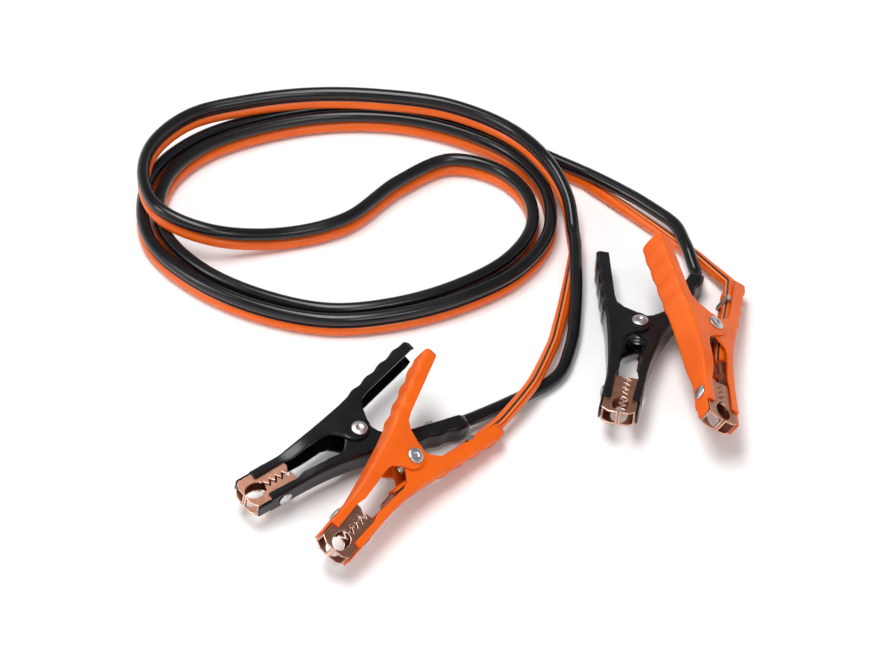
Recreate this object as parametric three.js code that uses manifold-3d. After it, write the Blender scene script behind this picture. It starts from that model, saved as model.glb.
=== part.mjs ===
// Car jumper cable set: a bonded black and orange twin cable, lying in a loose coil, with two spring
// clamps on each end. Millimetres, +Z up. The floor is z = 0, and the origin is under the middle of
// the box around the four clamps.

import * as THREE from 'three';
import { mergeVertices } from 'three/addons/utils/BufferGeometryUtils.js';
import Module from 'manifold-3d';

const wasm = await Module();
wasm.setup();

// Gaps between pieces
const touchGap = 0.3;
const boreGap = 0.3;

// Cable: two round cores, bonded one above the other
const coreDiameter = 8.45;
const coreSpacing = 8.4;
const coreSides = 6;
const bondHalfAngle = 50;
const tailSides = 10;
const layDown = 0.25;
const splitGap = 0.6;
const splitStraight = 10;
const splitPart = 0.35;

// Clamp levers: U channels of coated sheet, each lever seen from the side with the pivot at 0, 0
const sheet = 1.4;
const cableLeverHalfWidth = 8.0;
const movingLeverHalfWidth = cableLeverHalfWidth + touchGap + sheet;
const armHalfWidth = 6.9;
const tongueHalfWidth = 5.0;
const tongueReach = 86;
const flangeReach = 76;
const armEnd = 54;
const shoulderStart = 46;
const shoulderEnd = 41;
const gripPitch = 13.6;
const gripHeight = 1.1;
const gripWaves = 4;
const gripStart = 8;
const movingLever = {
  armHeight: 12.8,
  pivotHeight: 21.8,
  tipHeight: 39,
  handleReach: 67,
  armCurve: 1.25,
  handleDepth: 7.7,
};
const cableLever = {
  armHeight: 12.2,
  pivotHeight: 18.8,
  tipHeight: 34,
  handleReach: 62,
  armCurve: 2.2,
  handleDepth: 8.4,
};
const jawFlangeEdge = 6.8;
const throatFlangeEdge = 5.9;
const lobeRadius = 10;
const lobeForward = -1.5;
const lobeOffset = 3;

// Pivot rivet and torsion spring
const pivotShankRadius = 3;
const pivotHeadRadius = 5.2;
const rivetHeadHeight = 1.4;
const springRadius = 6.6;
const springWire = 1.8;
const springHalfHeight = 4.4;
const springLegInset = 5.4;
const springTurns = 3;
const movingLegAngle = 40;
const cableLegAngle = -38;
const movingLegLength = 29;
const cableLegLength = 24;
const springSteps = 50;

// Copper jaws: U channels with teeth along both side walls
const jawSheet = 1.1;
const jawHalfWidth = 5.2;
const jawRear = 53;
const jawNose = 89;
const jawRearEdge = 4;
const toothPitch = 4.7;
const toothCount = 4;
const toothHeight = 3.6;
const toothClearance = 1.9;
const mouthRear = 73.5;
const mouthHeight = 4.4;
const noseLip = 1.6;
const noseLipDepth = 3.1;
const noseLipHeight = 1.65;
const noseGap = 0.5;
const jawRivetPlace = 66;
const jawRivetShankRadius = 2;
const jawRivetHeadRadius = 4.7;
const jawRivetFootRadius = 3.2;
const jawRivetFootHeight = 0.9;

// Reach of the cutting blocks beyond what they cut
const acrossClamp = 20;
const aboveClamp = 60;
const openEnd = 8;
const boreStart = 7;

// Cable end, ferrule and cable clip inside the cable lever
const insulationEnd = 27.3;
const ferruleGap = 0.9;
const ferruleLength = 10;
const ferruleRadius = 3.2;
const ferruleTongueReach = 58;
const ferruleTongueWidth = 6.4;
const ferruleTongueSheet = 1.2;
const clipPlace = 41;
const clipWidth = 5;
const clipSheet = 0.9;

// Where each clamp lies: pivot in plan, handle heading, handle lift and roll about its own length
const clampPoses = {
  black_a: { x: -52.3, y: -114.9, heading: 39.7, lift: -0.8, roll: 13.3 },
  orange_a: { x: -20, y: -144, heading: 58.4, lift: 0.9, roll: 32.5 },
  black_b: { x: 127.2, y: -17.2, heading: 79, lift: -4.9, roll: 2.6 },
  orange_b: { x: 169.4, y: -33, heading: 92, lift: -2.8, roll: 35.5 },
};
const clampColours = { black: 0x17181a, orange: 0xf26418 };

// Route of the twin cable: x, y and the height of the seam between its two cores
const route = [
  [89, 71, 8.8], [88, 84, 8.8], [84.5, 108, 18], [72, 135, 26], [48, 168, 26.2],
  [6, 194.5, 26.2], [-42, 205, 26.2], [-90, 206.5, 26.2], [-134, 198.5, 26.2],
  [-171, 184, 26.2], [-194.5, 154, 26.2], [-199, 119, 26.2], [-186, 86, 26.2],
  [-153, 72, 20], [-107, 80, 9.5], [-64, 96, 8.8], [-29, 134, 8.8],
  [6, 157, 8.8], [39, 146, 8.8], [58, 120, 8.8], [60, 87, 8.8],
  [43, 55, 8.8], [10, 29.5, 8.8], [-30, 12.5, 8.8], [-72, 7, 8.8],
  [-115, 19.5, 8.8], [-155, 44.5, 8.8], [-182, 79, 8.8], [-189, 112, 8.8],
  [-182, 144, 8.8], [-160, 171, 8.8], [-123, 191, 8.8], [-77, 202.5, 8.8],
  [-29, 201, 8.8], [15, 185.5, 8.8], [50, 160.5, 8.8], [70, 127, 8.8],
  [71.5, 83, 8.8], [51, 45.5, 8.8], [15, 19, 8.8], [-27, 2.5, 8.8],
  [-72, -3, 8.8], [-119, 9.5, 8.8], [-162, 36.5, 8.8], [-192, 73, 8.8],
  [-200, 110, 8.8], [-193, 147, 8.8], [-167, 178.5, 8.8], [-127, 200, 8.8],
  [-79, 212.5, 8.8], [-26, 211, 8.8], [20, 194.5, 8.8], [60, 168.5, 8.8],
  [98, 143, 8.8],
];
// Routes of the single cores, from the clamp handle to the end of the twin cable
const tailRoutes = {
  black_a: [
    [31, -81.7, 7], [41.8, -73.9, 4.6], [64, -61.4, 4.5], [78, -46.6, 4.5],
    [85, -25.7, 4.6], [88.4, -6.3, 5], [89, 13.7, 7.7], [89.4, 37.8, 12],
  ],
  orange_a: [
    [46.6, -85.2, 14], [53.1, -75.6, 14.6], [61, -61.3, 13.8], [67, -42.4, 9.2],
    [75.4, -15.4, 4.6], [78.6, 9.4, 4.6], [83, 37, 4.4],
  ],
  black_b: [
    [164.2, 61.7, 15.5], [158.9, 86.7, 15.5], [143.7, 105.5, 15], [128.3, 120.9, 14],
  ],
  orange_b: [
    [180.9, 44.6, 7], [172.8, 64.5, 5], [159.1, 80.9, 4.6], [144.4, 95, 4.6],
    [126.9, 110.3, 4.6],
  ],
};

const radians = (angle) => THREE.MathUtils.degToRad(angle);
const coreRadius = coreDiameter / 2;

// Materials, one for each finish
const finish = (color, roughness, metalness) => new THREE.MeshStandardMaterial({ color, roughness, metalness });
const coating = {
  black: finish(clampColours.black, 0.35, 0),
  orange: finish(clampColours.orange, 0.42, 0),
};
const copper = finish(0xb87355, 0.32, 1);
const steel = finish(0xc4c7ca, 0.3, 1);
const cableJacket = {
  black: finish(0x1b1c1f, 0.32, 0),
  orange: finish(0xee5f16, 0.4, 0),
  twin: finish(0x27241f, 0.35, 0),
};

// Solid helpers
function toSolid(geometry) {
  const bare = geometry.clone();
  bare.deleteAttribute('normal');
  bare.deleteAttribute('uv');
  const merged = mergeVertices(bare, 1e-4);
  const vertProperties = new Float32Array(merged.attributes.position.array);
  const triVerts = new Uint32Array(merged.index.array);
  return new wasm.Manifold(new wasm.Mesh({ numProp: 3, vertProperties, triVerts }));
}

function toGeometry(solid) {
  const mesh = solid.getMesh();
  const geometry = new THREE.BufferGeometry();
  geometry.setAttribute('position', new THREE.BufferAttribute(mesh.vertProperties, 3));
  geometry.setIndex(new THREE.BufferAttribute(mesh.triVerts, 1));
  geometry.computeVertexNormals();
  return geometry;
}

function shapeFrom(points) {
  return new THREE.Shape(points.map(([x, y]) => new THREE.Vector2(x, y)));
}

// A side outline in x and y, given thickness across z
function sidePlate(points, zLow, zHigh) {
  const plate = new THREE.ExtrudeGeometry(shapeFrom(points), { depth: zHigh - zLow, bevelEnabled: false });
  return toSolid(plate.translate(0, 0, zLow));
}

// A plan outline in x and z, given height from yLow to yHigh
function planBlock(points, yLow, yHigh) {
  const block = new THREE.ExtrudeGeometry(shapeFrom(points), { depth: yHigh - yLow, bevelEnabled: false });
  return toSolid(block.rotateX(Math.PI / 2).translate(0, yHigh, 0));
}

function turned(profile, segments) {
  return new THREE.LatheGeometry(profile.map(([r, h]) => new THREE.Vector2(r, h)), segments);
}

// An outline drawn for the moving side, turned over for the cable side
function facing(points, side) {
  return points.map(([x, y]) => [x, y * side]);
}

function arcPoints(centreX, centreY, radius, fromAngle, toAngle, count) {
  const points = [];
  for (let i = 0; i <= count; i += 1) {
    const angle = radians(fromAngle + ((toAngle - fromAngle) * i) / count);
    points.push([centreX + radius * Math.cos(angle), centreY + radius * Math.sin(angle)]);
  }
  return points;
}

// Height of a lever's web above the clamp's long axis, without its finger grips
function webHeight(lever, x) {
  if (x <= -armEnd) {
    return lever.armHeight;
  }
  if (x < 0) {
    const share = (x + armEnd) / armEnd;
    return lever.armHeight + (lever.pivotHeight - lever.armHeight) * share ** lever.armCurve;
  }
  return lever.pivotHeight + ((lever.tipHeight - lever.pivotHeight) * x) / lever.handleReach;
}

function gripWave(x) {
  const along = (x - gripStart) / gripPitch;
  if (along < 0 || along > gripWaves) {
    return 0;
  }
  return (gripHeight * (1 - Math.cos(2 * Math.PI * along))) / 2;
}

// Stations along a lever's web, closer together where the finger grips are
function webStations(reach) {
  const stations = [-tongueReach, -armEnd, -44, -34, -24, -14, -4, 3, gripStart];
  const gripSteps = gripWaves * 4;
  for (let i = 1; i <= gripSteps; i += 1) {
    const x = gripStart + (gripPitch * i) / 4;
    if (x < reach - 1) {
      stations.push(x);
    }
  }
  stations.push(reach);
  return stations;
}

// Outline of a lever's flange and web seen from the side
function leverOutline(lever) {
  const web = webStations(lever.handleReach).map((x) => [x, webHeight(lever, x) + gripWave(x)]);
  const tip = lever.handleReach;
  const handleEdge = (x) => webHeight(lever, x) - lever.handleDepth;
  const handle = [
    [tip + 2, lever.tipHeight - 2],
    [tip + 1, handleEdge(tip + 1)],
    [22, handleEdge(22)],
    [16, handleEdge(16) - 0.8],
    [12, lever.pivotHeight - 9.5],
    [10, lobeOffset + 4],
  ];
  const lobe = arcPoints(lobeForward, lobeOffset, lobeRadius, 0, -165, 10);
  const arm = [
    [-15, lobeOffset + 1.6],
    [-17.5, throatFlangeEdge + 0.9],
    [-22, throatFlangeEdge + 1.9],
    [-shoulderEnd - 7, throatFlangeEdge],
    [-armEnd, jawFlangeEdge + 0.6],
    [-flangeReach, jawFlangeEdge],
    [-flangeReach, lever.armHeight - sheet - 0.8],
    [-tongueReach, lever.armHeight - sheet - 0.8],
  ];
  return [...web, ...handle, ...lobe, ...arm];
}

// Outline of the hollow between the flanges, open on the inner side and at both ends
function hollowOutline(lever) {
  const stations = webStations(lever.handleReach);
  stations[0] = -tongueReach - 5;
  stations.push(lever.handleReach + 6);
  const under = stations.map((x) => [x, webHeight(lever, x) - sheet]);
  return [...under, [lever.handleReach + 6, -30], [-tongueReach - 5, -30]];
}

// Half plan of a lever: tongue, narrow arm, shoulder and the wide body with a rounded handle end
function leverPlan(lever, inset) {
  const arm = armHalfWidth - inset;
  const body = lever.halfWidth - inset;
  const end = lever.handleReach + (inset > 0 ? 8 : 2.5);
  const round = inset > 0 ? 0 : 3;
  const front = inset > 0 ? arm : tongueHalfWidth;
  const half = [
    [-tongueReach - (inset > 0 ? 8 : 0), front],
    [-flangeReach, front],
    [-flangeReach, arm],
    [-shoulderStart + inset, arm],
    [-shoulderEnd + inset, body],
    [end - round, body],
    [end, body - round],
  ];
  const other = half.map(([x, z]) => [x, -z]).reverse();
  return [...half, ...other];
}

// A bore for one jaw rivet, through a lever's web and the back of its jaw
function jawRivetBore(side) {
  const circle = arcPoints(-jawRivetPlace, 0, jawRivetShankRadius + boreGap, 0, 330, 11);
  return side > 0
    ? planBlock(circle, boreStart, acrossClamp)
    : planBlock(circle, -acrossClamp, -boreStart);
}

function leverSolid(lever, side) {
  const blockFrom = (outline, plan) => sidePlate(facing(outline, side), -acrossClamp, acrossClamp)
    .intersect(planBlock(plan, -aboveClamp, aboveClamp));
  const outer = blockFrom(leverOutline(lever), leverPlan(lever, 0));
  const hollow = blockFrom(hollowOutline(lever), leverPlan(lever, sheet));
  const pivotCircle = arcPoints(0, 0, pivotShankRadius + boreGap, 0, 337.5, 15);
  return outer
    .subtract(hollow)
    .subtract(sidePlate(pivotCircle, -acrossClamp, acrossClamp))
    .subtract(jawRivetBore(side));
}

// A copper jaw: zigzag teeth at the rear, an oval mouth in front of them and a nose that is open in
// front. The teeth of the two jaws stand between each other.
function jawSolid(lever, side) {
  const back = lever.armHeight - sheet - touchGap;
  const shift = toothClearance / 2;
  const teeth = [];
  for (let i = 0; i <= toothCount * 2; i += 1) {
    const peak = ((i % 2 === 0 ? side : -side) * toothHeight) / 2;
    teeth.push([-jawRear - 1 - (toothPitch * i) / 2, peak + shift]);
  }
  const mouthFront = jawNose - noseLip;
  const mouthMiddle = (mouthRear + mouthFront) / 2;
  const mouthHalfLength = (mouthFront - mouthRear) / 2;
  const mouth = arcPoints(0, 0, 1, 20, 160, 6).map(([x, y]) => [
    x * mouthHalfLength - mouthMiddle,
    y * mouthHeight + shift,
  ]);
  const outline = [
    [-jawRear, back],
    [-jawRear, jawRearEdge],
    ...teeth,
    ...mouth,
    [-jawNose + noseLip * 0.6, noseGap / 2],
    [-jawNose, noseGap / 2 + 0.4],
    [-jawNose + 0.3, back * 0.6],
    [-jawNose + 3, back],
  ];
  const inside = jawHalfWidth - jawSheet;
  const channel = [
    [-jawRear + openEnd, back - jawSheet],
    [-jawNose - openEnd, back - jawSheet],
    [-jawNose - openEnd, noseLipHeight],
    [-jawNose + noseLipDepth, noseLipHeight],
    [-jawNose + noseLipDepth, -openEnd],
    [-jawRear + openEnd, -openEnd],
  ];
  return sidePlate(facing(outline, side), -jawHalfWidth, jawHalfWidth)
    .subtract(sidePlate(facing(channel, side), -inside, inside))
    .subtract(jawRivetBore(side));
}

function pivotRivetGeometry() {
  const seat = movingLeverHalfWidth + touchGap;
  const top = seat + rivetHeadHeight;
  const rim = seat + rivetHeadHeight * 0.5;
  const half = [
    [0, top - 0.5], [1.6, top - 0.5], [2.1, top], [3.6, top], [pivotHeadRadius, rim],
    [pivotHeadRadius, seat], [pivotShankRadius, seat],
  ];
  const other = half.map(([r, h]) => [r, -h]).reverse();
  return turned([...half, ...other].reverse(), 12).rotateX(Math.PI / 2);
}

function jawRivetGeometry(lever, side) {
  const seat = lever.armHeight + touchGap;
  const foot = lever.armHeight - sheet - touchGap - jawSheet - touchGap;
  const profile = [
    [0, foot - jawRivetFootHeight], [jawRivetFootRadius, foot - jawRivetFootHeight],
    [jawRivetFootRadius, foot], [jawRivetShankRadius, foot], [jawRivetShankRadius, seat],
    [jawRivetHeadRadius, seat], [jawRivetHeadRadius * 0.9, seat + 0.7],
    [jawRivetHeadRadius * 0.5, seat + 1.3], [0, seat + 1.4],
  ];
  const rivet = turned(profile, 10);
  if (side < 0) {
    rivet.rotateX(Math.PI);
  }
  return rivet.translate(-jawRivetPlace, 0, 0);
}

// Torsion spring: a leg along each handle and three turns around the pivot
class SpringPath extends THREE.Curve {
  constructor() {
    super();
    this.startAngle = radians(movingLegAngle + 90);
    this.endAngle = radians(cableLegAngle - 90 + 360 + 360 * springTurns);
    this.coilLength = springRadius * (this.endAngle - this.startAngle);
    this.total = movingLegLength + this.coilLength + cableLegLength;
  }

  getPoint(t, target = new THREE.Vector3()) {
    const along = t * this.total;
    const coilTop = springHalfHeight;
    if (along < movingLegLength) {
      const left = movingLegLength - along;
      const x = springRadius * Math.cos(this.startAngle) + left * Math.cos(radians(movingLegAngle));
      const y = springRadius * Math.sin(this.startAngle) + left * Math.sin(radians(movingLegAngle));
      return target.set(x, y, coilTop + (springLegInset - coilTop) * (left / movingLegLength));
    }
    if (along < movingLegLength + this.coilLength) {
      const share = (along - movingLegLength) / this.coilLength;
      const angle = this.startAngle + (this.endAngle - this.startAngle) * share;
      return target.set(
        springRadius * Math.cos(angle),
        springRadius * Math.sin(angle),
        coilTop - 2 * coilTop * share,
      );
    }
    const out = along - movingLegLength - this.coilLength;
    const x = springRadius * Math.cos(this.endAngle) + out * Math.cos(radians(cableLegAngle));
    const y = springRadius * Math.sin(this.endAngle) + out * Math.sin(radians(cableLegAngle));
    const drop = Math.min(1, out / 6);
    return target.set(x, y, -coilTop - (springLegInset - coilTop) * drop);
  }
}

function springGeometry() {
  const section = shapeFrom(arcPoints(0, 0, springWire / 2, 0, 288, 4));
  return new THREE.ExtrudeGeometry(section, { steps: springSteps, extrudePath: new SpringPath(), bevelEnabled: false });
}

// Height of the cable's axis in the cable lever, which lies on the web
function cableAxis(x) {
  return -(webHeight(cableLever, x) - sheet - touchGap - layDown - coreRadius);
}

function terminalSolid() {
  const y = cableAxis(-insulationEnd);
  const rear = insulationEnd + ferruleGap;
  const barrel = new THREE.CylinderGeometry(ferruleRadius, ferruleRadius, ferruleLength, 14);
  barrel.rotateZ(Math.PI / 2).translate(-rear - ferruleLength / 2, y, 0);
  const seat = -(cableLever.armHeight - sheet - touchGap - jawSheet - touchGap);
  const tongue = sidePlate(
    [
      [-rear - ferruleLength + 2, seat],
      [-rear - ferruleLength + 2, seat + ferruleTongueSheet],
      [-ferruleTongueReach, seat + ferruleTongueSheet],
      [-ferruleTongueReach, seat],
    ],
    -ferruleTongueWidth / 2,
    ferruleTongueWidth / 2,
  );
  return toSolid(barrel).add(tongue);
}

// A strap over the cable, square to the cable's own slope in the lever
function clipGeometry() {
  const over = coreRadius + touchGap;
  const half = cableLeverHalfWidth - sheet - touchGap;
  const outline = [
    [-half, -1], [-half, over + clipSheet], [half, over + clipSheet], [half, -1],
    [half - clipSheet, -1], [half - clipSheet, over], [-half + clipSheet, over],
    [-half + clipSheet, -1],
  ];
  const strap = new THREE.ExtrudeGeometry(
    new THREE.Shape(outline.map(([z, y]) => new THREE.Vector2(-z, y))),
    { depth: clipWidth, bevelEnabled: false },
  );
  const slope = Math.atan2(cableAxis(clipPlace + 1) - cableAxis(clipPlace), 1);
  strap.rotateY(Math.PI / 2).translate(-clipWidth / 2, 0, 0).rotateZ(slope);
  return strap.translate(clipPlace, cableAxis(clipPlace), 0);
}

// A cable's path, whose section stays upright on its way
class UprightPath extends THREE.CatmullRomCurve3 {
  constructor(points, bendLimit) {
    super(points, false, 'centripetal');
    this.bendLimit = bendLimit;
  }

  // One station at each point, and one between two points where the path bends
  stations() {
    const spans = this.points.length - 1;
    const list = [0];
    for (let i = 0; i < spans; i += 1) {
      const bend = this.getTangent(i / spans).angleTo(this.getTangent((i + 1) / spans));
      if (bend > this.bendLimit) {
        list.push((i + 0.5) / spans);
      }
      list.push((i + 1) / spans);
    }
    return list;
  }

  getSpacedPoints() {
    return this.stations().map((t) => this.getPoint(t));
  }

  computeFrenetFrames() {
    const tangents = this.stations().map((t) => this.getTangent(t).normalize());
    const up = new THREE.Vector3(0, 0, 1);
    const normals = tangents.map((tangent) => new THREE.Vector3().crossVectors(up, tangent).normalize());
    const binormals = tangents.map((tangent, i) => new THREE.Vector3().crossVectors(tangent, normals[i]));
    return { tangents, normals, binormals };
  }
}

function tube(points, section, bendLimit) {
  const path = new UprightPath(points.map((p) => new THREE.Vector3(...p)), bendLimit);
  const steps = path.stations().length - 1;
  return new THREE.ExtrudeGeometry(section, { steps, extrudePath: path, bevelEnabled: false });
}

function twinSection() {
  const lobe = (centre, from, to) => arcPoints(0, centre, coreRadius, from, to, coreSides - 1);
  const upper = lobe(coreSpacing / 2, -bondHalfAngle, 180 + bondHalfAngle);
  const lower = lobe(-coreSpacing / 2, 180 - bondHalfAngle, 360 + bondHalfAngle);
  return shapeFrom([...upper, ...lower]);
}

function coreSection() {
  return shapeFrom(arcPoints(0, 0, coreRadius, 0, 360 - 360 / tailSides, tailSides - 1));
}

function namedMesh(name, geometry, material) {
  const mesh = new THREE.Mesh(geometry, material);
  mesh.name = name;
  return mesh;
}

// One clamp in its own frame: pivot at the origin, handles towards +x, the moving lever on +y
function buildClamp(name, colour) {
  const clamp = new THREE.Group();
  const moving = { ...movingLever, halfWidth: movingLeverHalfWidth };
  const fixed = { ...cableLever, halfWidth: cableLeverHalfWidth };
  const add = (piece, geometry, material) => clamp.add(namedMesh(`${name}_${piece}`, geometry, material));
  add('moving_lever', toGeometry(leverSolid(moving, 1)), coating[colour]);
  add('cable_lever', toGeometry(leverSolid(fixed, -1)), coating[colour]);
  add('pivot_rivet', pivotRivetGeometry(), steel);
  add('torsion_spring', springGeometry(), steel);
  add('moving_jaw', toGeometry(jawSolid(moving, 1)), copper);
  add('cable_jaw', toGeometry(jawSolid(fixed, -1)), copper);
  add('moving_jaw_rivet', jawRivetGeometry(moving, 1), steel);
  add('cable_jaw_rivet', jawRivetGeometry(fixed, -1), steel);
  add('cable_clip', clipGeometry(), steel);
  add('terminal', toGeometry(terminalSolid()), copper);
  return clamp;
}

// Lays a clamp on the floor at its heading, lift and roll
function layClamp(clamp, pose) {
  clamp.rotation.set(radians(pose.roll), radians(-pose.lift), radians(pose.heading), 'ZYX');
  clamp.position.set(pose.x, pose.y, 0);
  clamp.updateMatrixWorld(true);
  const box = new THREE.Box3().setFromObject(clamp, true);
  clamp.position.z = -box.min.z;
  clamp.updateMatrixWorld(true);
}

// The part of a tail that lies in the cable lever, from the ferrule to just past the handle's end
function tailInLever(clamp) {
  const places = [-insulationEnd, -12, 3, 20, clipPlace, 56, 70];
  return places.map((x) => clamp.localToWorld(new THREE.Vector3(x, cableAxis(x), 0)).toArray());
}

// Where a core leaves the twin cable: straight out of the end face, then parting from the other core
function splitPoints(end, next, side) {
  const away = new THREE.Vector3(end[0] - next[0], end[1] - next[1], 0).normalize();
  const out = (distance, part) => [
    end[0] + away.x * distance,
    end[1] + away.y * distance,
    end[2] + side * (coreSpacing / 2 + part),
  ];
  return [out(splitStraight, splitPart), out(splitGap, 0.1)];
}

const set = new THREE.Group();
const clampGroup = new THREE.Group();
const clamps = {};
for (const [name, pose] of Object.entries(clampPoses)) {
  const clamp = buildClamp(name, name.split('_')[0]);
  layClamp(clamp, pose);
  clamps[name] = clamp;
  clampGroup.add(clamp);
}
set.add(clampGroup);

const bend = radians(13);
set.add(namedMesh('twin_cable', tube(route, twinSection(), bend), cableJacket.twin));
for (const [name, points] of Object.entries(tailRoutes)) {
  const [colour, end] = name.split('_');
  const side = colour === 'black' ? 1 : -1;
  const atStart = end === 'a';
  const last = atStart ? route[0] : route[route.length - 1];
  const next = atStart ? route[1] : route[route.length - 2];
  const path = [...tailInLever(clamps[name]), ...points, ...splitPoints(last, next, side)];
  set.add(namedMesh(`${name}_tail`, tube(path, coreSection(), radians(40)), cableJacket[colour]));
}

const clampBox = new THREE.Box3().setFromObject(clampGroup, true);
const middle = clampBox.getCenter(new THREE.Vector3());
set.position.set(-middle.x, -middle.y, 0);

const group = new THREE.Group();
group.add(set);
group.updateMatrixWorld(true);
export default group;
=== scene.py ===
"""Car jumper cable: a bonded black and orange twin cable in a loose coil, with two spring clamps on
each end. Sizes below are in millimetres, in the frame of the part, and go into the meshes in metres."""

import math

import bmesh
import bpy
from mathutils import Matrix, Vector


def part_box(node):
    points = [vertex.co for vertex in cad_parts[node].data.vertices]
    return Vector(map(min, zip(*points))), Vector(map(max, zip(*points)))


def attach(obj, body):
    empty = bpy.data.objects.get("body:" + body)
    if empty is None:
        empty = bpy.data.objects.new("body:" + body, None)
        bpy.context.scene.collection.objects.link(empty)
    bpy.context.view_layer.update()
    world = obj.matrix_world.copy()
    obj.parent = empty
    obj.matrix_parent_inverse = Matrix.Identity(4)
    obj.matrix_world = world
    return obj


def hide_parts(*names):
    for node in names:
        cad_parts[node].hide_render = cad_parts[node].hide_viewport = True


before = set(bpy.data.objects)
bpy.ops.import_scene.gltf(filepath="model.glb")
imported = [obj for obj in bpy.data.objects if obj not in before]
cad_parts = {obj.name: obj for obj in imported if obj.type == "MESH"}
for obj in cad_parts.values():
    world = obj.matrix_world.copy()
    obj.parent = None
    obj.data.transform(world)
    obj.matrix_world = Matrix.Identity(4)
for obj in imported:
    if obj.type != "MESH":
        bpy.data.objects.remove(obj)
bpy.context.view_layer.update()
METRE = 0.001

# Cable sizes and routes
CORE_DIAMETER = 8.45
CORE_RADIUS = CORE_DIAMETER / 2
CORE_SPACING = 8.4
RING_SIDES = 36
RING_STEP = 3.2
SPLIT_STRAIGHT = 10
SPLIT_PART = 0.35

# Marks on the orange core, in degrees around it from its right-hand side: a navy stripe, a lighter band
# of painted highlight, and a dark line of painted shade along the groove
STRIPE_ANGLES = (110, 130)
GROOVE_SHADE_ANGLES = (80, 90)
PAINTED_HIGHLIGHT_ANGLES = (90, 110)

# Single cores: how far they turn between split and clamp, and how much their bends are eased
TAIL_TWIST = -48
TWIST_PACE = 1.6
EASE_LIMIT = 2.6
EASE_ROUNDS = 60
LOWEST_CENTRE = 4.3

TWIN_ROUTE = [
    (89, 71, 8.8), (88, 84, 8.8), (84.5, 108, 18), (72, 135, 26), (48, 168, 26.2),
    (6, 194.5, 26.2), (-42, 205, 26.2), (-90, 206.5, 26.2), (-134, 198.5, 26.2),
    (-171, 184, 26.2), (-194.5, 154, 26.2), (-199, 119, 26.2), (-186, 86, 26.2),
    (-153, 72, 20), (-107, 80, 9.5), (-64, 96, 8.8), (-29, 134, 8.8),
    (6, 157, 8.8), (39, 146, 8.8), (58, 120, 8.8), (60, 87, 8.8),
    (43, 55, 8.8), (10, 29.5, 8.8), (-30, 12.5, 8.8), (-72, 7, 8.8),
    (-115, 19.5, 8.8), (-155, 44.5, 8.8), (-182, 79, 8.8), (-189, 112, 8.8),
    (-182, 144, 8.8), (-160, 171, 8.8), (-123, 191, 8.8), (-77, 202.5, 8.8),
    (-29, 201, 8.8), (15, 185.5, 8.8), (50, 160.5, 8.8), (70, 127, 8.8),
    (71.5, 83, 8.8), (51, 45.5, 8.8), (15, 19, 8.8), (-27, 2.5, 8.8),
    (-72, -3, 8.8), (-119, 9.5, 8.8), (-162, 36.5, 8.8), (-192, 73, 8.8),
    (-200, 110, 8.8), (-193, 147, 8.8), (-167, 178.5, 8.8), (-127, 200, 8.8),
    (-79, 212.5, 8.8), (-26, 211, 8.8), (20, 194.5, 8.8), (60, 168.5, 8.8),
    (98, 143, 8.8),
]
TAIL_ROUTES = {
    "black_a": [
        (31, -81.7, 7), (41.8, -73.9, 4.6), (64, -61.4, 4.5), (78, -46.6, 4.5),
        (85, -25.7, 4.6), (88.4, -6.3, 5), (89, 13.7, 7.7), (89.4, 37.8, 12),
    ],
    "orange_a": [
        (46.6, -85.2, 14), (53.1, -75.6, 14.6), (61, -61.3, 13.8), (67, -42.4, 9.2),
        (75.4, -15.4, 4.6), (78.6, 9.4, 4.6), (83, 37, 4.4),
    ],
    "black_b": [
        (164.2, 61.7, 15.5), (158.9, 86.7, 15.5), (143.7, 105.5, 15), (128.3, 120.9, 14),
    ],
    "orange_b": [
        (180.9, 44.6, 7), (172.8, 64.5, 5), (159.1, 80.9, 4.6), (144.4, 95, 4.6),
        (126.9, 110.3, 4.6),
    ],
}

# Clamps: pivot in plan, handle heading, lift and roll about the clamp's own length
CLAMP_POSES = {
    "black_a": (-52.3, -114.9, 39.7, -0.8, 13.3),
    "orange_a": (-20, -144, 58.4, 0.9, 32.5),
    "black_b": (127.2, -17.2, 79, -4.9, 2.6),
    "orange_b": (169.4, -33, 92, -2.8, 35.5),
}

# Levers: pressed sheet, from the tongue under the jaw to the end of the handle
SHEET = 1.4
GAP = 0.3
ARM_END = 54
ARM_HALF_WIDTH = 6.9
SHOULDER_START = -57
SHOULDER_LENGTH = 24
SHOULDER_STEPS = 12
FLANGE_REACH = 76
TONGUE_REACH = 86
TONGUE_HALF_WIDTH = 5
TONGUE_CORNER = 0.8
TONGUE_DEPTH = 1.0
HANDLE_END = 2.5
HANDLE_ROLL = 1.6
HANDLE_NARROWING = 2.4
EDGE_BREAK = 0.4
STATION_STEP = 1.7
WALL_STEPS = 4
CORNER_ANGLES = (0, 18, 36, 54, 72, 90)
CORNER_RADII = [(-76, 1.6), (-46, 1.8), (-36, 2.6)]
JAW_FLANGE = [(-FLANGE_REACH, 6.8), (-54, 7.4), (-48, 5.9), (-22, 7.8), (-17.5, 6.8), (-15, 4.6)]
LOBE_RADIUS = 10
LOBE_CENTRE = (-1.5, 3)
GRIP_PITCH = 13.6
GRIP_HEIGHT = 1.1
GRIP_START = 8
GRIP_WAVES = 4
MOVING_LEVER = dict(
    arm=12.8, pivot=21.8, tip=39, reach=67, curve=1.25, depth=7.7, half_width=9.7, side=1
)
CABLE_LEVER = dict(
    arm=12.2, pivot=18.8, tip=34, reach=62, curve=2.2, depth=8.4, half_width=8.0, side=-1
)

# Cable inside its lever, from the bared end to the open end of the handle
INSULATION_END = 27.3
CLIP_PLACE = 41
CABLE_PLAY = 0.25
TAIL_PLACES = (-INSULATION_END, -12, 3, 20, CLIP_PLACE, 56, 70)
STRAND_RADIUS = 0.5
STRAND_SIDES = 8
STRAND_RINGS = ((1.1, 6), (2.2, 12))
STRAND_ENDS = (-INSULATION_END + 0.8, -INSULATION_END - 1.4)

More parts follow.
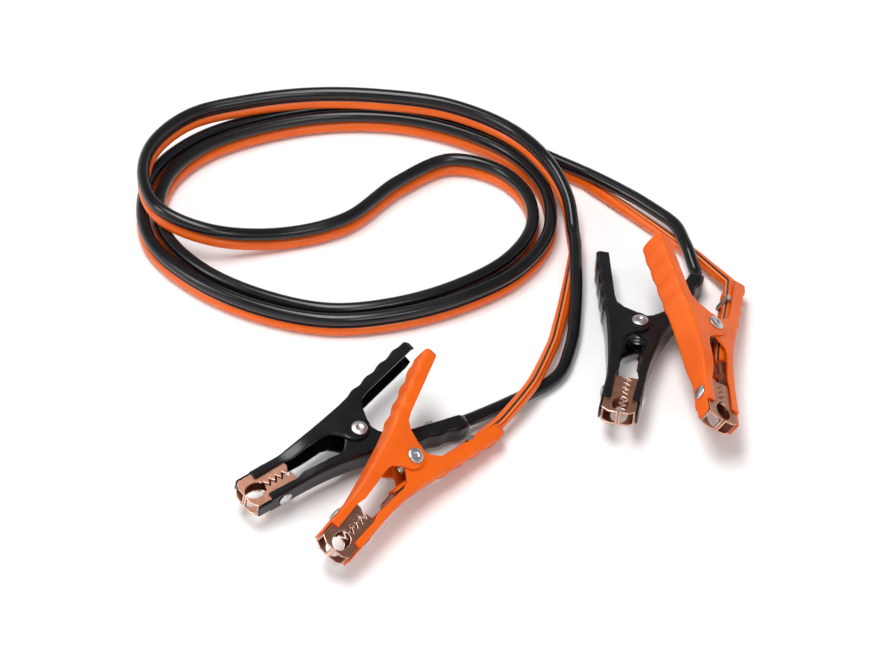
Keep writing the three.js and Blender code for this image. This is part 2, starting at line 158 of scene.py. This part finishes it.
# Rivets and spring
PIVOT_SEAT = 10.0
JAW_RIVET_PLACE = 66
JAW_SHEET = 1.1
SPRING_RADIUS = 6.6
SPRING_HALF = 4.4
SPRING_START = 130
SPRING_END = 1312
TURN_STEP = 12
WIRE_RADIUS = 0.9
FIXED_LEG_HEADING = -38
FIXED_LEG_LENGTH = 24
MOVING_LEG_HEADING = 40
MOVING_LEG_LENGTH = 29
LEG_STEPS = 8
LEG_INSET = 5.4
LEG_SPREAD_LENGTH = 6

# Rounding of the edges of the small pressed parts
JAW_EDGE = 0.28
FITTING_EDGE = 0.2

# Camera of the photograph
CAMERA_ELEVATION = 43
CAMERA_DISTANCE = 2340
CAMERA_LENS = 146.9
SENSOR_WIDTH = 36
CAMERA_REACH = 50

# Studio, in metres and watts: brightness of the room at the horizon and overhead, then the softboxes
WORLD_TONES = ((0.12, 1.0), (0.5, 0.2))
SOFTBOXES = (
    ("overhead_softbox", (-0.25, 0.05, 1.6), 1.3, 0.6, 23),
    ("front_softbox", (0.5, -1.5, 1.3), 0.9, 0.5, 10),
    ("left_softbox", (-1.7, -0.2, 1.0), 0.5, 1.0, 9),
)
LIGHT_AIM = (0, 0.1, 0)
FLOOR_HALF_SIZE = 6
FLOOR_LEVEL = -0.0006


def middle_of(node):
    """The middle of a node's box, in millimetres."""
    low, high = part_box(node)
    return (low + high) / 2 / METRE


def clamp_matrix(name):
    """A clamp's own frame: pivot at the origin, handles towards +x, moving lever on +y."""
    _, _, heading, lift, roll = CLAMP_POSES[name]
    turn = (
        Matrix.Rotation(math.radians(heading), 4, "Z")
        @ Matrix.Rotation(math.radians(-lift), 4, "Y")
        @ Matrix.Rotation(math.radians(roll), 4, "X")
    )
    return Matrix.Translation(middle_of(f"{name}_pivot_rivet")) @ turn


CLAMP_FRAMES = {name: clamp_matrix(name) for name in CLAMP_POSES}
ROUTE_SHIFT = CLAMP_FRAMES["black_a"].translation - Vector((*CLAMP_POSES["black_a"][:2], 0))
ROUTE_SHIFT.z = 0


class Value:
    """A node's output that takes part in arithmetic."""

    def __init__(self, look, socket):
        self.look = look
        self.socket = socket

    def _math(self, operation, first, second):
        return self.look.node("ShaderNodeMath", {"operation": operation}, {0: first, 1: second})

    def __add__(self, other):
        return self._math("ADD", self, other)

    def __radd__(self, other):
        return self._math("ADD", other, self)

    def __mul__(self, other):
        return self._math("MULTIPLY", self, other)

    def __rmul__(self, other):
        return self._math("MULTIPLY", other, self)


class Look:
    """A material built from nodes around one shader."""

    def __init__(self, name, colour, roughness, metallic=0.0, gloss=None):
        self.material = bpy.data.materials.new(name)
        self.material.use_nodes = True
        self.tree = self.material.node_tree
        self.shader = self.tree.nodes["Principled BSDF"]
        self.shader.inputs["Base Color"].default_value = (*colour, 1)
        self.shader.inputs["Roughness"].default_value = roughness
        self.shader.inputs["Metallic"].default_value = metallic
        for socket, value in (gloss or {}).items():
            self.shader.inputs[socket].default_value = value

    def node(self, kind, settings, inputs, output=0):
        """A node of any type, with its settings made first and then its sockets filled."""
        node = self.tree.nodes.new(kind)
        for key, value in settings.items():
            if key == "stops":
                for element, (place, tone) in zip(node.color_ramp.elements, value):
                    element.position = place
                    element.color = (tone, tone, tone, 1)
            else:
                setattr(node, key, value)
        for socket, value in inputs.items():
            self.put(node.inputs[socket], value)
        return Value(self, node.outputs[output])

    def put(self, socket, value):
        if isinstance(value, Value):
            self.tree.links.new(value.socket, socket)
        else:
            socket.default_value = value

    def place(self, stretch=(1, 1, 1)):
        point = self.node("ShaderNodeTexCoord", {}, {}, "Object")
        return self.node("ShaderNodeMapping", {}, {"Vector": point, "Scale": stretch})

    def noise(self, scale, detail=4, stretch=(1, 1, 1)):
        return self.node(
            "ShaderNodeTexNoise", {},
            {"Vector": self.place(stretch), "Scale": scale, "Detail": detail},
        )

    def threshold(self, value, low, high):
        return self.node("ShaderNodeValToRGB", {"stops": [(low, 0), (high, 1)]}, {0: value})

    def blend(self, factor, first, second):
        return self.node(
            "ShaderNodeMix", {"data_type": "RGBA"},
            {0: factor, 6: (*first, 1), 7: (*second, 1)}, 2,
        )

    def surface(self, colour=None, roughness=None, height=None, depth=0.00005):
        if colour is not None:
            self.put(self.shader.inputs["Base Color"], colour)
        if roughness is not None:
            self.put(self.shader.inputs["Roughness"], roughness)
        if height is not None:
            normal = self.node(
                "ShaderNodeBump", {}, {"Height": height, "Distance": depth, "Strength": 0.6}
            )
            self.put(self.shader.inputs["Normal"], normal)
        return self.material


def dipped_coat(name, colour, shade, roughness):
    """Thick plastic dip on pressed steel: slightly uneven gloss over a fine skin."""
    look = Look(name, colour, roughness, gloss={"Specular IOR Level": 0.36})
    cloud = look.noise(38, 3)
    skin = look.noise(1500, 2)
    return look.surface(
        colour=look.blend(look.threshold(cloud, 0.35, 0.7), colour, shade),
        roughness=roughness - 0.06 + cloud * 0.14,
        height=skin * 0.35 + look.noise(260, 2) * 0.65,
        depth=0.00009,
    )


def soft_jacket(name, colour, shade, roughness):
    """Soft extruded plastic: long even gloss with faint dull patches."""
    look = Look(name, colour, roughness, gloss={"Specular IOR Level": 0.42})
    cloud = look.noise(30, 3)
    return look.surface(
        colour=look.blend(look.threshold(cloud, 0.4, 0.75), colour, shade),
        roughness=roughness - 0.04 + cloud * 0.1,
        height=look.noise(700, 2),
        depth=0.00003,
    )


def plated_metal(name, colour, shade, roughness, grain):
    """Thin bright plating: stained in soft clouds, with fine drawn scratches."""
    look = Look(name, colour, roughness, metallic=1.0)
    stain = look.noise(120, 5)
    scratch = look.noise(900, 3, grain)
    return look.surface(
        colour=look.blend(look.threshold(stain, 0.42, 0.68), colour, shade),
        roughness=roughness - 0.08 + stain * 0.12 + scratch * 0.1,
        height=scratch,
        depth=0.00003,
    )


BLACK = (0.0032, 0.0032, 0.004)
ORANGE = (0.78, 0.120, 0.002)
coat = {
    "black": dipped_coat("black_dipped_coat", BLACK, (0.006, 0.006, 0.007), 0.24),
    "orange": dipped_coat("orange_dipped_coat", ORANGE, (0.70, 0.094, 0.001), 0.40),
}
jacket = {
    "black": soft_jacket("black_cable_jacket", (0.004, 0.004, 0.005), (0.008, 0.008, 0.010), 0.22),
    "orange": soft_jacket("orange_cable_jacket", ORANGE, (0.72, 0.098, 0.001), 0.34),
}
stripe_look = soft_jacket("navy_cable_stripe", (0.012, 0.020, 0.028), (0.018, 0.027, 0.036), 0.3)
# Painted highlight: a lighter orange band along the orange core
painted_highlight_look = soft_jacket("orange_painted_highlight_band", (0.86, 0.19, 0.02), (0.82, 0.155, 0.01), 0.34)
# Painted shade: a dark red line along the groove by the seam of the two cores
groove_shade_look = soft_jacket("painted_groove_shade", (0.28, 0.012, 0.002), (0.36, 0.02, 0.003), 0.5)
copper_look = plated_metal(
    "copper_plated_sheet", (0.50, 0.25, 0.17), (0.36, 0.17, 0.115), 0.36, (0.15, 1, 1)
)
copper_edge_look = plated_metal(
    "bright_copper_edge", (0.92, 0.60, 0.46), (0.80, 0.46, 0.33), 0.25, (1, 1, 1)
)
steel_look = plated_metal(
    "zinc_plated_steel", (0.62, 0.63, 0.65), (0.45, 0.46, 0.48), 0.30, (1, 0.2, 1)
)
strand_look = plated_metal(
    "bare_copper_strand", (0.70, 0.33, 0.20), (0.50, 0.20, 0.12), 0.38, (0.2, 1, 1)
)


def make_piece(name, points, faces, looks, body, replaced=(), face_looks=None):
    """A smooth-shaded mesh from points in millimetres, riding on a body of the part."""
    mesh = bpy.data.meshes.new(name)
    mesh.from_pydata([Vector(p) * METRE for p in points], [], faces)
    for look in looks:
        mesh.materials.append(look)
    mesh.polygons.foreach_set("use_smooth", [True] * len(faces))
    if face_looks:
        mesh.polygons.foreach_set("material_index", face_looks)
    mesh.update()
    piece = bpy.data.objects.new(name, mesh)
    bpy.context.scene.collection.objects.link(piece)
    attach(piece, body)
    if replaced:
        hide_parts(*replaced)
    return piece


def spline(points, step):
    """A smooth line through the points, with its own about a step apart, and each point's place in it."""
    points = [Vector(p) for p in points]
    first = points[0] * 2 - points[1]
    last = points[-1] * 2 - points[-2]
    padded = [first, *points, last]
    line, knots = [], []
    for before, start, end, after in zip(padded, padded[1:], padded[2:], padded[3:]):
        knots.append(len(line))
        spans = ((before, start), (start, end), (end, after))
        back, along, beyond = (max((b - a).length ** 0.5, 1e-4) for a, b in spans)
        leave = (start - before) / back - (end - before) / (back + along) + (end - start) / along
        arrive = (end - start) / along - (after - start) / (along + beyond) + (after - end) / beyond
        leave *= along
        arrive *= along
        count = max(2, round((end - start).length / step))
        for i in range(count):
            t = i / count
            line.append(
                start * (2 * t**3 - 3 * t**2 + 1) + leave * (t**3 - 2 * t**2 + t)
                + end * (3 * t**2 - 2 * t**3) + arrive * (t**3 - t**2)
            )
    knots.append(len(line))
    line.append(points[-1])
    return line, knots


def tube_mesh(line, radius, sides, twists, look_at_angle):
    """Rings around a line, each turned by its twist from upright, and a flat cap on each end."""
    points, faces, face_looks = [], [], []
    for i, middle in enumerate(line):
        ahead = (line[min(i + 1, len(line) - 1)] - line[max(i - 1, 0)]).normalized()
        right = ahead.cross(Vector((0, 0, 1))).normalized()
        above = right.cross(ahead)
        for k in range(sides):
            angle = 2 * math.pi * k / sides + math.radians(twists[i])
            points.append(middle + (right * math.cos(angle) + above * math.sin(angle)) * radius)
    for i in range(len(line) - 1):
        for k in range(sides):
            n = (k + 1) % sides
            faces.append((i * sides + k, i * sides + n, (i + 1) * sides + n, (i + 1) * sides + k))
            face_looks.append(look_at_angle((k + 0.5) * 360 / sides))
    faces.append(tuple(range(sides)))
    faces.append(tuple((len(line) - 1) * sides + k for k in reversed(range(sides))))
    face_looks += [0, 0]
    return points, faces, face_looks


def lever_height(lever, x):
    """The height of a lever's web above the clamp's middle line, without its grips."""
    if x <= -ARM_END:
        return lever["arm"]
    if x < 0:
        share = (x + ARM_END) / ARM_END
        return lever["arm"] + (lever["pivot"] - lever["arm"]) * share ** lever["curve"]
    return lever["pivot"] + (lever["tip"] - lever["pivot"]) * x / lever["reach"]


def grip_wave(x):
    """How far a finger grip stands out of the web."""
    along = (x - GRIP_START) / GRIP_PITCH
    if along < 0 or along > GRIP_WAVES:
        return 0
    return GRIP_HEIGHT * (1 - math.cos(2 * math.pi * along)) / 2


def along_points(points, x):
    """The height at x of a line through points with rising x."""
    if x <= points[0][0]:
        return points[0][1]
    for (x0, y0), (x1, y1) in zip(points, points[1:]):
        if x <= x1:
            return y0 + (y1 - y0) * (x - x0) / max(x1 - x0, 1e-6)
    return points[-1][1]


def flange_edge(lever):
    """The lower edge of a lever's side walls, from its jaw end to its handle end."""

    def under(x):
        return lever_height(lever, x) - lever["depth"]

    edge = list(JAW_FLANGE)
    for angle in range(195, 361, 11):
        turn = math.radians(angle)
        x = LOBE_CENTRE[0] + LOBE_RADIUS * math.cos(turn)
        edge.append((x, LOBE_CENTRE[1] + LOBE_RADIUS * math.sin(turn)))
    edge += [(10, 7), (12, lever["pivot"] - 9.5), (16, under(16) - 0.8), (22, under(22))]
    edge.append((lever["reach"] + 3, under(lever["reach"] + 1)))
    return edge


def cable_axis(x):
    """The height of the cable's middle inside the cable lever."""
    return -(lever_height(CABLE_LEVER, x) - SHEET - GAP - CABLE_PLAY - CORE_RADIUS)


def lever_widths(lever):
    """Half of a lever's width, from its tongue, over its shoulder, to its handle end."""
    full, reach = lever["half_width"], lever["reach"]
    steps = (i / SHOULDER_STEPS for i in range(SHOULDER_STEPS + 1))
    shoulder = [
        (
            SHOULDER_START + SHOULDER_LENGTH * t,
            ARM_HALF_WIDTH + (full - ARM_HALF_WIDTH) * (3 * t**2 - 2 * t**3),
        )
        for t in steps
    ]
    return [
        (-TONGUE_REACH, TONGUE_HALF_WIDTH - 0.8), (-TONGUE_REACH + 1, TONGUE_HALF_WIDTH),
        (-FLANGE_REACH - 0.01, TONGUE_HALF_WIDTH), (-FLANGE_REACH, ARM_HALF_WIDTH),
        *shoulder,
        (reach - 1, full), (reach + HANDLE_END, full - HANDLE_NARROWING),
    ]


def lever_stations(lever, places):
    """The places along a lever where its section is drawn."""
    last = lever["reach"] + HANDLE_END
    stations = {-TONGUE_REACH, -FLANGE_REACH - 0.01, -FLANGE_REACH, last}
    stations |= {x for x, _ in places if -TONGUE_REACH <= x <= last}
    x = -TONGUE_REACH
    while x < lever["reach"] + 2:
        stations.add(round(x, 3))
        x += STATION_STEP
    return sorted(stations)


def lever_section(lever, edge, widths, x):
    """The U of a lever at x: one wall, its rounded corner, the web, and the same mirrored."""
    half = along_points(widths, x)
    tongue = x < -FLANGE_REACH
    rolled = max(0, x - lever["reach"] + 1) / (HANDLE_END + 1)
    top = lever_height(lever, x) + grip_wave(x) - HANDLE_ROLL * rolled**2
    radius = TONGUE_CORNER if tongue else along_points(CORNER_RADII, x)
    low = top - TONGUE_DEPTH if tongue else min(along_points(edge, x), top - radius - GAP)
    wall = [(low + (top - radius - low) * i / WALL_STEPS, half) for i in range(WALL_STEPS)]
    corner = [
        (
            top - radius + radius * math.sin(math.radians(a)),
            half - radius + radius * math.cos(math.radians(a)),
        )
        for a in CORNER_ANGLES
    ]
    web = [(top, (half - radius) / 2), (top, 0)]
    profile = wall + corner + web
    return profile + [(y, -z) for y, z in reversed(profile[:-1])]


def build_lever(clamp, colour, lever, node, body):
    """A pressed U channel: side walls, rounded corners, a web with finger grips and a jaw tongue."""
    edge = flange_edge(lever)
    widths = lever_widths(lever)
    stations = lever_stations(lever, edge + widths)
    points, faces = [], []
    for x in stations:
        section = lever_section(lever, edge, widths, x)
        points += [CLAMP_FRAMES[clamp] @ Vector((x, y * lever["side"], z)) for y, z in section]
    width = len(section)
    for i in range(len(stations) - 1):
        for k in range(width - 1):
            here, onward = i * width + k, (i + 1) * width + k
            quad = (here, here + 1, onward + 1, onward)
            faces.append(quad if lever["side"] > 0 else quad[::-1])
    piece = make_piece(
        f"{node}_formed", points, faces, [coat[colour]], body, [node]
    )
    thick = piece.modifiers.new("sheet", "SOLIDIFY")
    thick.thickness = SHEET * METRE
    thick.offset = 1 if faces_inwards(piece) else -1
    thick.use_even_offset = False
    edges = piece.modifiers.new("rolled edges", "BEVEL")
    edges.width = EDGE_BREAK * METRE
    edges.segments = 2
    edges.limit_method = "ANGLE"
    edges.angle_limit = math.radians(50)


def faces_inwards(piece):
    """True where the faces of an open channel look inwards."""
    middle = sum((v.co for v in piece.data.vertices), Vector()) / len(piece.data.vertices)
    votes = sum((p.center - middle).dot(p.normal) * p.area for p in piece.data.polygons)
    return votes < 0


def softened_copy(node, name, looks, body, width, edge_look=0):
    """A node's own shape with its edges rounded."""
    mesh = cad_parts[node].data.copy()
    mesh.name = name
    shape = bmesh.new()
    shape.from_mesh(mesh)
    bmesh.ops.remove_doubles(shape, verts=shape.verts, dist=1e-6)
    bmesh.ops.dissolve_limit(
        shape, angle_limit=math.radians(1.5), verts=shape.verts, edges=shape.edges
    )
    shape.to_mesh(mesh)
    shape.free()
    mesh.materials.clear()
    for look in looks:
        mesh.materials.append(look)
    mesh.polygons.foreach_set("use_smooth", [False] * len(mesh.polygons))
    mesh.polygons.foreach_set("material_index", [0] * len(mesh.polygons))
    piece = bpy.data.objects.new(name, mesh)
    bpy.context.scene.collection.objects.link(piece)
    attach(piece, body)
    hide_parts(node)
    edges = piece.modifiers.new("broken edges", "BEVEL")
    edges.width = width * METRE
    edges.segments = 2
    edges.limit_method = "ANGLE"
    edges.angle_limit = math.radians(28)
    edges.material = edge_look


def turned_steel(name, profile, matrix, body, node, sides=40):
    """A turned shape: profile of radius and height about the local z axis of a matrix."""
    points, faces = [], []
    for r, h in profile:
        for k in range(sides):
            angle = 2 * math.pi * k / sides
            points.append(matrix @ Vector((r * math.cos(angle), r * math.sin(angle), h)))
    for i in range(len(profile) - 1):
        for k in range(sides):
            n = (k + 1) % sides
            faces.append((i * sides + k, i * sides + n, (i + 1) * sides + n, (i + 1) * sides + k))
    faces.append(tuple(reversed(range(sides))))
    faces.append(tuple((len(profile) - 1) * sides + k for k in range(sides)))
    make_piece(name, points, faces, [steel_look], body, [node])


def pivot_rivet(clamp):
    """A shank with a domed, ringed head on each side, dished in the middle."""
    head = [
        (0.6, 0.7), (1.5, 0.75), (1.9, 1.25), (2.3, 1.38), (3.4, 1.38),
        (3.9, 1.1), (4.5, 1.0), (5.0, 0.75), (5.2, 0.45), (5.2, 0), (3, 0),
    ]
    lower = [(r, -PIVOT_SEAT - h) for r, h in head]
    upper = [(r, PIVOT_SEAT + h) for r, h in reversed(head)]
    node = f"{clamp}_pivot_rivet"
    turned_steel(f"{clamp}_rivet_turned", lower + upper, CLAMP_FRAMES[clamp], "set", node)


def jaw_rivet(clamp, lever, node, body):
    """A flat domed head outside the lever, a shank, and a small spread foot inside the jaw."""
    seat = lever["arm"] + GAP
    foot = lever["arm"] - SHEET - GAP - JAW_SHEET - GAP
    profile = [
        (0.5, foot - 0.9), (2.9, foot - 0.9), (3.2, foot - 0.6), (3.2, foot), (2, foot),
        (2, seat), (4.7, seat), (4.65, seat + 0.35), (4.2, seat + 0.75), (3.2, seat + 1.15),
        (1.8, seat + 1.35), (0.5, seat + 1.4),
    ]
    upright = Matrix.Rotation(math.radians(-90 * lever["side"]), 4, "X")
    matrix = CLAMP_FRAMES[clamp] @ Matrix.Translation((-JAW_RIVET_PLACE, 0, 0)) @ upright
    turned_steel(f"{node}_turned", profile, matrix, body, node)


def round_wire(clamp, name, line, radius, body, replaced=()):
    """A steel wire through points in the clamp's own frame."""
    curve = bpy.data.curves.new(name, "CURVE")
    curve.dimensions = "3D"
    curve.bevel_depth = radius * METRE
    curve.bevel_resolution = 3
    curve.use_fill_caps = True
    wire = curve.splines.new("POLY")
    wire.points.add(len(line) - 1)
    for point, place in zip(wire.points, line):
        point.co = (*(CLAMP_FRAMES[clamp] @ Vector(place) * METRE), 1)
    wire.use_smooth = True
    curve.materials.append(steel_look)
    piece = bpy.data.objects.new(name, curve)
    bpy.context.scene.collection.objects.link(piece)
    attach(piece, body)
    if replaced:
        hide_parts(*replaced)


def spring_turn(angle):
    """A point on the spring's coil, by its angle in degrees from the handles."""
    share = (angle - SPRING_START) / (SPRING_END - SPRING_START)
    turn = math.radians(angle)
    return (
        SPRING_RADIUS * math.cos(turn), SPRING_RADIUS * math.sin(turn), SPRING_HALF * (1 - 2 * share)
    )


def spring_leg(angle, heading, length, side):
    """A straight leg that leaves the coil at an angle and moves out to the side of the handle."""
    x, y, _ = spring_turn(angle)
    across = math.radians(heading)
    leg = []
    for i in range(LEG_STEPS + 1):
        out = length * i / LEG_STEPS
        z = SPRING_HALF + (LEG_INSET - SPRING_HALF) * min(1, out / LEG_SPREAD_LENGTH)
        leg.append((x + out * math.cos(across), y + out * math.sin(across), side * z))
    return leg


def torsion_spring(clamp):
    """Three turns around the pivot, a leg for the cable handle, and one that moves with its handle."""
    steps = round((SPRING_END - SPRING_START) / TURN_STEP)
    coil = [spring_turn(SPRING_START + TURN_STEP * i) for i in range(steps)]
    fixed_leg = spring_leg(SPRING_END, FIXED_LEG_HEADING, FIXED_LEG_LENGTH, -1)
    node = f"{clamp}_torsion_spring"
    round_wire(clamp, f"{clamp}_spring_wire", coil + fixed_leg, WIRE_RADIUS, "set", [node])
    moving_leg = spring_leg(SPRING_START, MOVING_LEG_HEADING, MOVING_LEG_LENGTH, 1)
    hook = [spring_turn(SPRING_START + 9 * i) for i in range(1, 6)]
    moving_line = moving_leg[::-1] + hook
    moving_body = f"{clamp}_moving_side"
    round_wire(clamp, f"{clamp}_spring_leg", moving_line, WIRE_RADIUS - 0.02, moving_body)


def bare_strands(clamp):
    """The short bundle of copper strands between the jacket's end and the ferrule."""
    axis = cable_axis(-INSULATION_END)
    spots = [(0, 0)] + [
        (r * math.cos(math.radians(a)), r * math.sin(math.radians(a)))
        for r, count in STRAND_RINGS for a in range(0, 360, 360 // count)
    ]
    points, faces = [], []
    for y, z in spots:
        base = len(points)
        for x in STRAND_ENDS:
            for k in range(STRAND_SIDES):
                a = 2 * math.pi * k / STRAND_SIDES
                rim = (x, axis + y + STRAND_RADIUS * math.cos(a), z + STRAND_RADIUS * math.sin(a))
                points.append(CLAMP_FRAMES[clamp] @ Vector(rim))
        for k in range(STRAND_SIDES):
            n = (k + 1) % STRAND_SIDES
            faces.append((base + k, base + n, base + STRAND_SIDES + n, base + STRAND_SIDES + k))
    make_piece(f"{clamp}_strands", points, faces, [strand_look], "set")


def build_clamp(clamp):
    """One clamp: levers, jaws, rivets, spring, clip, ferrule and strands."""
    colour = clamp.split("_")[0]
    moving_body = f"{clamp}_moving_side"
    copper = [copper_look, copper_edge_look]
    build_lever(clamp, colour, MOVING_LEVER, f"{clamp}_moving_lever", moving_body)
    build_lever(clamp, colour, CABLE_LEVER, f"{clamp}_cable_lever", "set")
    for jaw, body in ((f"{clamp}_moving_jaw", moving_body), (f"{clamp}_cable_jaw", "set")):
        softened_copy(jaw, f"{jaw}_pressed", copper, body, JAW_EDGE, 1)
    jaw_rivet(clamp, MOVING_LEVER, f"{clamp}_moving_jaw_rivet", moving_body)
    jaw_rivet(clamp, CABLE_LEVER, f"{clamp}_cable_jaw_rivet", "set")
    pivot_rivet(clamp)
    torsion_spring(clamp)
    clip, terminal = f"{clamp}_cable_clip", f"{clamp}_terminal"
    softened_copy(clip, f"{clamp}_clip_bent", [steel_look], "set", FITTING_EDGE)
    softened_copy(terminal, f"{clamp}_ferrule", copper, "set", FITTING_EDGE, 1)
    bare_strands(clamp)


def ease_tails(line, inside, split_a, split_b, last):
    """The same line with the single cores' bends between clamp and split eased a little."""
    stretches = [(inside, split_a), (split_b, last - inside)]
    free = [i for start, end in stretches for i in range(start + 1, end)]
    eased = [p.copy() for p in line]
    for _ in range(EASE_ROUNDS):
        for i in free:
            between = (eased[i - 1] + eased[i + 1]) / 2
            shift = between - line[i]
            if shift.length > EASE_LIMIT:
                shift *= EASE_LIMIT / shift.length
            eased[i] = line[i] + shift
            eased[i].z = max(eased[i].z, min(line[i].z, LOWEST_CENTRE))
    return eased


def core_line(colour):
    """One core from the ferrule of its first clamp, through the bonded length, to its second."""
    side = 1 if colour == "black" else -1
    raised = [Vector((x, y, z + side * CORE_SPACING / 2)) for x, y, z in TWIN_ROUTE]

    def tail(end, last, following):
        clamp = f"{colour}_{end}"
        inside = [CLAMP_FRAMES[clamp] @ Vector((x, cable_axis(x), 0)) for x in TAIL_PLACES]
        outside = [Vector(p) + ROUTE_SHIFT for p in TAIL_ROUTES[clamp]]
        away = Vector(last) - Vector(following)
        away.z = 0
        lead = Vector(last) + away.normalized() * SPLIT_STRAIGHT
        lead.z += side * (CORE_SPACING / 2 + SPLIT_PART)
        return inside + outside + [lead + ROUTE_SHIFT]

    start = tail("a", TWIN_ROUTE[0], TWIN_ROUTE[1])
    finish = tail("b", TWIN_ROUTE[-1], TWIN_ROUTE[-2])
    line, knots = spline(start + [p + ROUTE_SHIFT for p in raised] + finish[::-1], RING_STEP)
    split_a, split_b = knots[len(start)], knots[-1 - len(finish)]
    last = len(line) - 1
    line = ease_tails(line, knots[TAIL_PLACES.index(CLIP_PLACE)], split_a, split_b, last)
    twists = []
    for i in range(len(line)):
        apart = max(1 - i / split_a, (i - split_b) / (last - split_b), 0)
        twists.append(TAIL_TWIST * min(1, apart * TWIST_PACE))
    return line, twists


def build_core(colour, replaced):
    """One core as a single tube from ferrule to ferrule."""
    line, twists = core_line(colour)

    def look_at_angle(angle):
        if colour == "black":
            return 0
        if STRIPE_ANGLES[0] < angle < STRIPE_ANGLES[1]:
            return 1
        # Painted highlight: the lighter orange band
        if PAINTED_HIGHLIGHT_ANGLES[0] < angle < PAINTED_HIGHLIGHT_ANGLES[1]:
            return 2
        # Painted shade: the dark line along the groove
        if GROOVE_SHADE_ANGLES[0] < angle < GROOVE_SHADE_ANGLES[1]:
            return 3
        return 0

    looks = [jacket[colour]]
    if colour == "orange":
        looks += [stripe_look, painted_highlight_look, groove_shade_look]
    points, faces, face_looks = tube_mesh(line, CORE_RADIUS, RING_SIDES, twists, look_at_angle)
    core = make_piece(
        f"{colour}_core", points, faces, looks, "set", replaced, face_looks
    )
    length = sum((b - a).length for a, b in zip(line, line[1:])) * METRE
    tuple(line[0] * METRE)
    [tuple(p * METRE) for p in line]


def build_floor():
    """A wide, plain, pale floor."""
    mesh = bpy.data.meshes.new("floor")
    corners = [(-1, -1), (1, -1), (1, 1), (-1, 1)]
    mesh.from_pydata(
        [(x * FLOOR_HALF_SIZE, y * FLOOR_HALF_SIZE, FLOOR_LEVEL) for x, y in corners],
        [], [(0, 1, 2, 3)],
    )
    floor = bpy.data.objects.new("floor", mesh)
    pale = Look("pale_floor", (0.94, 0.94, 0.94), 0.75)
    mesh.materials.append(pale.surface(roughness=0.7 + pale.noise(6, 2) * 0.1))
    bpy.context.scene.collection.objects.link(floor)


def light_room():
    """A room that is white at the horizon and dim overhead."""
    world = bpy.data.worlds.new("studio")
    world.use_nodes = True
    sky = world.node_tree
    direction = sky.nodes.new("ShaderNodeTexCoord")
    height = sky.nodes.new("ShaderNodeSeparateXYZ")
    ramp = sky.nodes.new("ShaderNodeValToRGB")
    for element, (place, tone) in zip(ramp.color_ramp.elements, WORLD_TONES):
        element.position = place
        element.color = (tone, tone, tone, 1)
    sky.links.new(direction.outputs["Generated"], height.inputs[0])
    sky.links.new(height.outputs["Z"], ramp.inputs[0])
    sky.links.new(ramp.outputs[0], sky.nodes["Background"].inputs["Color"])
    bpy.context.scene.world = world


def hang_softboxes():
    """Soft lamps above, in front and on the left, all aimed at the coil."""
    for name, place, width, height, power in SOFTBOXES:
        light = bpy.data.lights.new(name, "AREA")
        light.shape = "RECTANGLE"
        light.size = width
        light.size_y = height
        light.energy = power
        lamp = bpy.data.objects.new(name, light)
        lamp.location = place
        lamp.rotation_mode = "QUATERNION"
        lamp.rotation_quaternion = (Vector(LIGHT_AIM) - Vector(place)).to_track_quat("-Z", "Y")
        bpy.context.scene.collection.objects.link(lamp)


def place_camera():
    """The photograph's view: from the front, well above the floor, through a long lens."""
    data = bpy.data.cameras.new("camera")
    data.lens = CAMERA_LENS
    data.sensor_width = SENSOR_WIDTH
    data.clip_end = CAMERA_REACH
    camera = bpy.data.objects.new("camera", data)
    elevation = math.radians(CAMERA_ELEVATION)
    back = Vector((0, -math.cos(elevation), math.sin(elevation)))
    camera.location = (ROUTE_SHIFT + back * CAMERA_DISTANCE) * METRE
    camera.rotation_mode = "QUATERNION"
    camera.rotation_quaternion = (-back).to_track_quat("-Z", "Y")
    bpy.context.scene.collection.objects.link(camera)
    bpy.context.scene.camera = camera


place_camera()
build_core("black", ["twin_cable", "black_a_tail", "black_b_tail"])
build_core("orange", ["orange_a_tail", "orange_b_tail"])
for clamp_name in CLAMP_POSES:
    build_clamp(clamp_name)
build_floor()
light_room()
hang_softboxes()
bpy.context.scene.view_settings.view_transform = "Standard"
